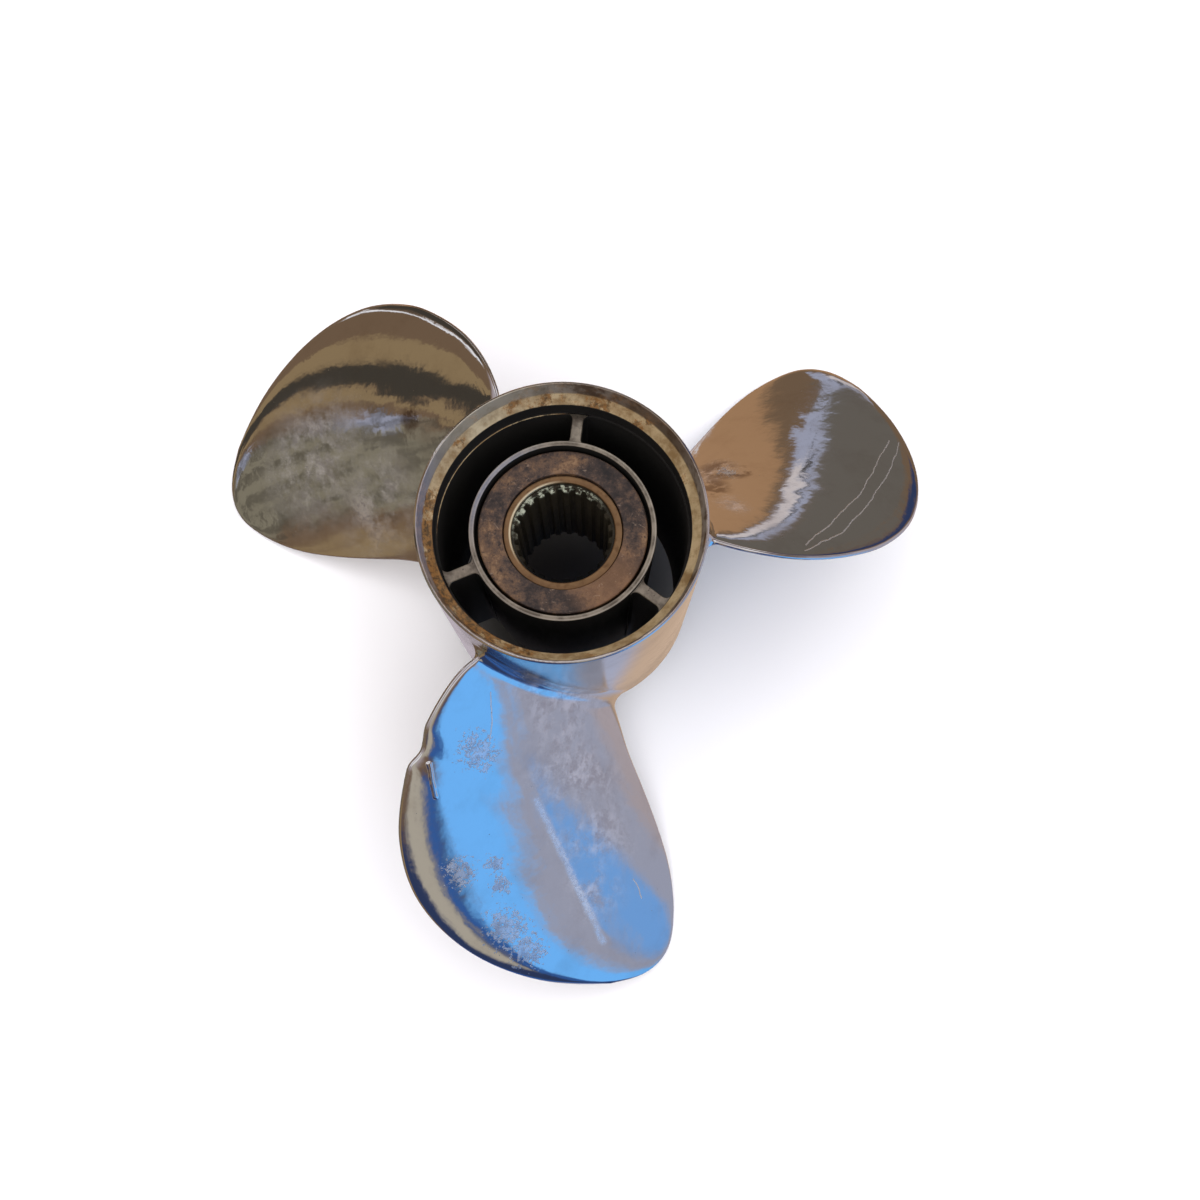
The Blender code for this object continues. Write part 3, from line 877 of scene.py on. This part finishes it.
def hub_metal(name):
    """Bare worn metal on what faces forward, soot on the walls, with pale edge lines and a bluish
    upper-left side painted on as highlight and reflection.
    """
    material, graph, shader, place = new_material(name)
    shader["Specular IOR Level"].default_value = WEAK_SHINE
    radius, depth = graph.radius_and_depth(place)
    normal = graph.tree.nodes.new("ShaderNodeSeparateXYZ")
    graph.put(normal.inputs[0], graph.add("ShaderNodeTexCoord", output=1))
    facing = graph.smooth(normal.outputs[2], 0.25, 0.6)
    cloud = graph.noise(place, 150.0, 5.0, 0.65)
    bare = graph.mix(graph.smooth(cloud, 0.35, 0.65), (98, 90, 78), (146, 137, 120))
    soot = graph.mix(graph.noise(place, 60.0, 4.0, 0.6), (16, 16, 15), (34, 32, 29))
    pit = graph.smooth(graph.spots(place, 420.0), 0.10, 0.18, 1.0, 0.0)
    bare = graph.mix(graph.math("MULTIPLY", pit, 0.6), bare, (60, 54, 46))
    # Pale lines at the ring's outer edge and at its mouth: worn edges, painted pale as their bevel
    # highlights
    worn = graph.math("COMPARE", radius, HUB_RADIUS - 0.0003, 0.0004)
    lip = graph.math("COMPARE", radius, HUB_MOUTH_RADIUS + 0.0003, 0.0003)
    worn = graph.math("MAXIMUM", worn, graph.math("MULTIPLY", lip, 0.5))
    # A painted bluish reflection on the upper-left side
    painted_blue_reflection = graph.near(place, (-0.034, 0.016, height(HUB_TOP)), 0.034, 0.8)
    bare = graph.mix(graph.math("MULTIPLY", painted_blue_reflection, 0.5), bare, (146, 152, 170))
    bare = graph.mix(graph.math("MULTIPLY", worn, 0.42), bare, (190, 182, 166))
    near_mouth = graph.smooth(depth, HUB_TOP + 0.0050, HUB_TOP + 0.0038)
    bare_share = graph.math("MULTIPLY", facing, near_mouth)
    graph.put(shader["Base Color"], graph.mix(bare_share, soot, bare))
    graph.put(shader["Metallic"], graph.math("MULTIPLY", bare_share, 0.8))
    graph.put(shader["Roughness"], graph.math("MULTIPLY_ADD", bare_share, -0.32, 0.62))
    graph.put(shader["Normal"], graph.bump(graph.noise(place, 800.0, 3.0, 0.6), 0.00005))
    return material


def bushing_rubber():
    material, graph, shader, place = new_material("bushing_rubber")
    cloud = graph.noise(place, 62.0, 8.0, 0.78)
    fine = graph.noise(place, 420.0, 4.0, 0.6)
    shade = graph.ramp(cloud, (
        (0.38, (30, 26, 24)),
        (0.46, (54, 43, 37)),
        (0.51, (78, 60, 47)),
        (0.57, (98, 73, 51)),
        (0.66, (134, 104, 74)),
    ))
    shade = graph.mix(graph.smooth(fine, 0.52, 0.70), shade, (42, 34, 31))
    scuff = graph.smooth(graph.noise(place, 210.0, 5.0, 0.8, 1.5), 0.60, 0.68)
    shade = graph.mix(graph.math("MULTIPLY", scuff, 0.6), shade, (150, 128, 108))
    warm = graph.near(place, (0.022, -0.020, height(BUSHING_TOP)), 0.022, 0.8)
    shade = graph.mix(graph.math("MULTIPLY", warm, 0.40), shade, (140, 100, 64))
    graph.put(shader["Base Color"], shade)
    shader["Metallic"].default_value = 0.25
    graph.put(shader["Roughness"], graph.math("MULTIPLY_ADD", fine, 0.3, 0.42))
    lumps = graph.bump(cloud, 0.0006)
    graph.put(shader["Normal"], graph.bump(fine, 0.00012, lumps))
    return material


def sleeve_brass():
    """Brass-brown ring with turned lines, black grime below it, pale deposits at the teeth, a painted
    highlight on the mouth's upper left and a painted shadow low in the bore.
    """
    material, graph, shader, place = new_material("sleeve_brass")
    shader["Specular IOR Level"].default_value = WEAK_SHINE
    radius, depth = graph.radius_and_depth(place)
    cloud = graph.noise(place, 160.0, 5.0, 0.65)
    ring = graph.mix(cloud, (100, 78, 54), (150, 118, 82))
    wear = graph.smooth(graph.noise(place, 300.0, 3.0), 0.5, 0.7)
    ring = graph.mix(graph.math("MULTIPLY", wear, 0.5), ring, (88, 62, 40))
    # A painted highlight on the upper left of the mouth's bevel
    lip = graph.smooth(radius, SLEEVE_MOUTH_RADIUS + 0.0012, SLEEVE_MOUTH_RADIUS + 0.0006)
    lit = graph.near(place, (-0.022, 0.008, height(SLEEVE_TOP)), 0.026, 0.5)
    ring = graph.mix(graph.math("MULTIPLY", lip, lit), ring, (214, 200, 164))
    grime = graph.mix(graph.noise(place, 260.0, 4.0, 0.6), (18, 17, 14), (58, 52, 40))
    # A painted shadow darkens the grime near the bore's lower side
    shaded = graph.near(place, (0.004, -0.019, height(SLEEVE_MOUTH_DEPTH)), 0.026, 0.5)
    grime = graph.mix(shaded, grime, (9, 9, 8))
    below = graph.smooth(depth, SLEEVE_TOP + 0.0008, SLEEVE_TOP + 0.0011)
    shade = graph.mix(below, ring, grime)
    upper_left = graph.near(place, (-0.010, 0.020, height(SLEEVE_MOUTH_DEPTH)), 0.030, 0.6)
    crust = graph.smooth(graph.noise(place, 330.0, 4.0, 0.7), 0.47, 0.58)
    level = graph.smooth(depth, SLEEVE_MOUTH_DEPTH - 0.0004, SLEEVE_MOUTH_DEPTH)
    level = graph.math("MULTIPLY", level, graph.smooth(depth, 0.0250, 0.0235))
    crust = graph.math("MULTIPLY", crust, graph.math("MULTIPLY", level, upper_left))
    shade = graph.mix(crust, shade, (164, 168, 148))
    graph.put(shader["Base Color"], shade)
    metal = graph.math("SUBTRACT", 0.9, graph.math("MULTIPLY", below, 0.88))
    metal = graph.math("MULTIPLY", metal, graph.math("SUBTRACT", 1.0, crust))
    graph.put(shader["Metallic"], metal)
    rough = graph.math("MULTIPLY_ADD", below, 0.25, 0.32)
    graph.put(shader["Roughness"], graph.math("MULTIPLY_ADD", crust, 0.3, rough))
    turned = graph.noise(graph.add("ShaderNodeCombineXYZ", {0: radius}), 3500.0, 2.0)
    lines = graph.bump(turned, 0.00002)
    graph.put(shader["Normal"], graph.bump(graph.noise(place, 600.0, 3.0), 0.00006, lines))
    return material


def dress(obj, nodes, material):
    obj.data.materials.append(material)
    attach(obj, "root")
    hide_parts(*nodes)


def make_floor():
    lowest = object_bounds()[0].z
    bpy.ops.mesh.primitive_plane_add(size=FLOOR_SIZE, location=(0.0, 0.0, lowest))
    floor = bpy.context.object
    floor.name = "floor"
    floor.data.materials.append(plain_material("pale_floor", FLOOR_SHADE, FLOOR_ROUGHNESS)[0])
    floor.visible_glossy = False
    # A dark disc under the hub, fading out at its edge: a painted shadow
    reach = PAINTED_SHADOW_RADIUS + PAINTED_SHADOW_FADE
    middle = lowest + 0.5 * PAINTED_SHADOW_THICKNESS
    bpy.ops.mesh.primitive_cylinder_add(vertices=96, radius=reach, depth=PAINTED_SHADOW_THICKNESS,
                                        location=(0.0, PAINTED_SHADOW_SHIFT, middle))
    patch = bpy.context.object
    patch.name = "painted_shadow"
    material, graph, shader, place = new_material("painted_shadow")
    dark = graph.near(place, (0.0, 0.0, 0.0), reach, PAINTED_SHADOW_FADE / reach)
    graph.put(shader["Base Color"], graph.mix(dark, FLOOR_SHADE, PAINTED_SHADOW_SHADE))
    shader["Roughness"].default_value = FLOOR_ROUGHNESS
    patch.data.materials.append(material)


def make_backdrop():
    """A plain pale dome that only the camera sees."""
    bpy.ops.mesh.primitive_uv_sphere_add(segments=48, ring_count=24, radius=BACKDROP_RADIUS)
    dome = bpy.context.object
    dome.name = "backdrop"
    material, shader = plain_material("pale_backdrop", (0, 0, 0), 0.5)
    shader["Emission Color"].default_value = colour(BACKDROP_SHADE)
    shader["Emission Strength"].default_value = 1.0
    dome.data.materials.append(material)
    dome.visible_glossy = False
    dome.visible_diffuse = False
    dome.visible_transmission = False
    dome.visible_shadow = False


def make_lights():
    lift = math.radians(LAMP_ELEVATION)
    for i in range(LAMP_COUNT):
        turn = math.radians(FIRST_LAMP_ANGLE + i * 360.0 / LAMP_COUNT)
        away = Vector((math.cos(turn) * math.cos(lift), math.sin(turn) * math.cos(lift),
                       math.sin(lift)))
        light = bpy.data.lights.new("soft_box", "AREA")
        light.size = LAMP_SIZE
        light.energy = LAMP_POWER
        lamp = new_object("soft_box", light)
        lamp.location = away * LAMP_DISTANCE
        lamp.rotation_euler = (-away).to_track_quat("-Z", "Y").to_euler()
        lamp.visible_glossy = False


# Tints of the studio's soft light
SKY = (104, 174, 246)
BLUE = (104, 152, 214)
DEEP_BLUE = (48, 86, 150)
NAVY = (42, 54, 88)
LAVENDER = (144, 149, 171)
ROSE_GREY = (156, 148, 156)
MIST = (186, 180, 184)
PALE = (216, 218, 228)
STONE = (160, 155, 146)
MOSS = (118, 113, 100)
SLATE = (92, 88, 84)
COPPER = (148, 116, 88)
SAND = (166, 144, 126)
TAN = (128, 110, 84)
BROWN = (102, 84, 68)
UMBER = (58, 54, 49)

# Soft panels that stand round the part: azimuth from the seam on, elevation, half width, half
# height, tilt, soft edge and tint, with all angles in degrees
SEAM = -135.0
WIDEST_SOFT_END = 8.0
PANELS = (
    (-78.0, -8.0, 32.0, 44.0, 0.0, 10.0, NAVY),
    (-86.0, -38.0, 28.0, 22.0, 0.0, 10.0, DEEP_BLUE),
    (-119.0, 6.0, 16.0, 30.0, 0.0, 8.0, TAN),
    (-71.0, 30.0, 10.5, 26.0, 0.0, 8.0, STONE),
    (22.0, -8.0, 24.0, 44.0, 0.0, 10.0, ROSE_GREY),
    (-10.0, -8.0, 28.0, 44.0, 0.0, 10.0, LAVENDER),
    (-37.0, -8.0, 19.0, 44.0, 10.0, 10.0, SKY),
    (-54.0, -8.0, 6.0, 44.0, 10.0, 5.0, DEEP_BLUE),
    (-46.0, -62.0, 44.0, 28.0, 0.0, 10.0, LAVENDER),
    (-8.0, 9.5, 13.0, 10.0, 0.0, 9.0, BLUE),
    (53.0, 10.0, 6.0, 26.0, 0.0, 4.0, NAVY),
    (82.0, 8.0, 26.0, 18.0, 15.0, 4.0, SLATE),
    (100.0, -32.0, 30.0, 21.5, 15.0, 4.0, COPPER),
    (83.0, -11.0, 12.0, 4.4, 22.0, 1.6, LAVENDER),
    (81.0, -13.2, 9.0, 2.4, 22.0, 1.2, MIST),
    (81.0, -10.6, 10.0, 0.7, 22.0, 0.5, UMBER),
    (118.0, -36.0, 5.0, 14.0, 0.0, 1.6, MIST),
    (126.0, 12.0, 12.0, 20.0, 0.0, 4.0, UMBER),
    (141.0, 12.0, 3.5, 20.0, 0.0, 2.0, PALE),
    (168.0, 6.0, 6.0, 30.0, 0.0, 2.5, TAN),
    (177.8, 6.0, 6.2, 30.0, 0.0, 2.0, UMBER),
    (185.5, 6.0, 2.4, 30.0, 0.0, 1.2, TAN),
    (206.0, 6.0, 17.0, 30.0, 0.0, 6.0, MOSS),
    (192.5, 9.0, 2.6, 5.0, 0.0, 1.0, LAVENDER),
    (34.0, -72.0, 72.0, 26.0, 0.0, 24.0, SAND),
    (0.0, 60.0, 130.0, 11.0, 0.0, 6.0, PALE),
)
STEEL_SHARE = 0.6

# The studio's light is worked out part by part, each part with only the panels that reach it, which
# saves render time and changes nothing in the picture
PART_STARTS = (SEAM, -42.0, 48.0, 145.0)
TOP_PART = 56.0
MOTTLED_PLACE = 206.0
MOTTLED_REACH = 22.0


def panels_within(start, end, low, high):
    """The panels that reach between two azimuths and two elevations."""
    found = []
    for panel in PANELS:
        place, lift, half_width, half_height, tilt = panel[:5]
        slant = math.tan(math.radians(abs(tilt)))
        wide = half_width + slant * half_height
        tall = half_height + slant * half_width
        if start < place + wide and place - wide < end and low < lift + tall and lift - tall < high:
            found.append(panel)
    return found


def panel_light(graph, azimuth, elevation, panels):
    """A warm plain surround with soft panels in it."""
    light = graph.mix(graph.smooth(elevation, 34.0, 48.0), BROWN, ROSE_GREY)
    light = graph.mix(graph.smooth(elevation, -48.0, -66.0), light, ROSE_GREY)
    # Upright panels at one height share the mask for it
    heights = {}
    for place, lift, half_width, half_height, tilt, soft, tint in panels:
        along = graph.math("SUBTRACT", azimuth, place)
        across = graph.math("SUBTRACT", elevation, lift)
        if tilt:
            slant = math.tan(math.radians(tilt))
            along, across = (graph.math("MULTIPLY_ADD", across, slant, along),
                             graph.math("MULTIPLY_ADD", along, -slant, across))
        wide = graph.smooth(graph.math("ABSOLUTE", along), half_width, half_width - soft)
        key = (lift, half_height, place if tilt else None)
        if key not in heights:
            edge = half_height - min(soft, WIDEST_SOFT_END)
            heights[key] = graph.smooth(graph.math("ABSOLUTE", across), half_height, edge)
        light = graph.mix(graph.math("MULTIPLY", wide, heights[key]), light, tint)
    return light


def mottled(graph, direction, azimuth, light):
    """Dark mottling over the far side."""
    mottle = graph.smooth(graph.noise(direction, 15.0, 2.0, 0.7), 0.46, 0.60, 0.0, 0.65)
    aside = graph.math("ABSOLUTE", graph.math("SUBTRACT", azimuth, MOTTLED_PLACE))
    mottle = graph.math("MULTIPLY", mottle, graph.smooth(aside, MOTTLED_REACH, MOTTLED_REACH - 8.0))
    return graph.mix(mottle, light, UMBER)


def make_world():
    world = bpy.data.worlds.new("studio")
    bpy.context.scene.world = world
    world.use_nodes = True
    graph = Graph(world.node_tree)
    direction = graph.add("ShaderNodeTexCoord")
    parts = graph.tree.nodes.new("ShaderNodeSeparateXYZ")
    graph.put(parts.inputs[0], direction)
    x, y, z = parts.outputs
    broad = graph.math("SUBTRACT", graph.noise(direction, 9.0, 1.0, 0.5), 0.5)
    ragged = graph.math("SUBTRACT", graph.noise(direction, 34.0, 2.0, 0.7), 0.5)
    drift = graph.math("MULTIPLY_ADD", broad, 12.0, graph.math("MULTIPLY", ragged, 7.0))
    elevation = graph.math("DEGREES", graph.math("ARCSINE", z))
    elevation = graph.math("MULTIPLY_ADD", ragged, 6.0, elevation)
    azimuth = graph.math("DEGREES", graph.math("ARCTAN2", y, x))
    azimuth = graph.math("WRAP", graph.math("ADD", azimuth, drift), SEAM + 360.0, SEAM)
    surface = None
    for start, end in zip(PART_STARTS, (*PART_STARTS[1:], SEAM + 360.0)):
        sides = []
        for low, high in ((-100.0, TOP_PART), (TOP_PART, 100.0)):
            light = panel_light(graph, azimuth, elevation, panels_within(start, end, low, high))
            if end > MOTTLED_PLACE - MOTTLED_REACH:
                light = mottled(graph, direction, azimuth, light)
            inputs = {"Color": light, "Strength": 1.0 / STEEL_SHARE}
            sides.append(graph.add("ShaderNodeBackground", inputs))
        above = graph.math("GREATER_THAN", elevation, TOP_PART)
        part = graph.add("ShaderNodeMixShader", {0: above, 1: sides[0], 2: sides[1]})
        if surface is None:
            surface = part
        else:
            beyond = graph.math("GREATER_THAN", azimuth, start)
            surface = graph.add("ShaderNodeMixShader", {0: beyond, 1: surface, 2: part})
    graph.put(graph.tree.nodes["World Output"].inputs["Surface"], surface)


def make_camera():
    data = bpy.data.cameras.new("camera")
    data.lens = CAMERA_LENS
    data.sensor_width = SENSOR_WIDTH
    camera = new_object("camera", data)
    bpy.context.scene.camera = camera
    elevation = math.radians(CAMERA_ELEVATION)
    right = Vector((1.0, 0.0, 0.0))
    up = Vector((0.0, math.sin(elevation), math.cos(elevation)))
    forward = Vector((0.0, math.cos(elevation), -math.sin(elevation)))
    roll = math.radians(CAMERA_ROLL)
    right, up = (right * math.cos(roll) + up * math.sin(roll),
                 up * math.cos(roll) - right * math.sin(roll))
    turn = Matrix.Rotation(math.radians(CAMERA_TURN), 3, "Z")
    right, up, forward = turn @ right, turn @ up, turn @ forward
    rim_centre = Vector((0.0, 0.0, RIM_HEIGHT))
    place = rim_centre - right * RIM_RIGHT - up * RIM_UP - forward * RIM_AWAY
    facing = Matrix((right, up, -forward)).transposed().to_4x4()
    camera.matrix_world = Matrix.Translation(place) @ facing


make_camera()
dress(make_barrel(), ["barrel"], barrel_metal())
for index in range(BLADE_COUNT):
    dress(make_blade(index), [f"blade_{index + 1}"], polished_steel(index))
cast = hub_metal("cast_steel")
for index in range(RIB_COUNT):
    dress(make_rib(index), [f"rib_{index + 1}"], cast)
dress(make_inner_hub(), ["inner_hub"], cast)
dress(make_bushing(), ["rubber_bushing"], bushing_rubber())
dress(make_sleeve(), ["spline_sleeve"], sleeve_brass())
make_floor()
make_backdrop()
make_lights()
make_world()
bpy.context.scene.view_settings.view_transform = "Standard"
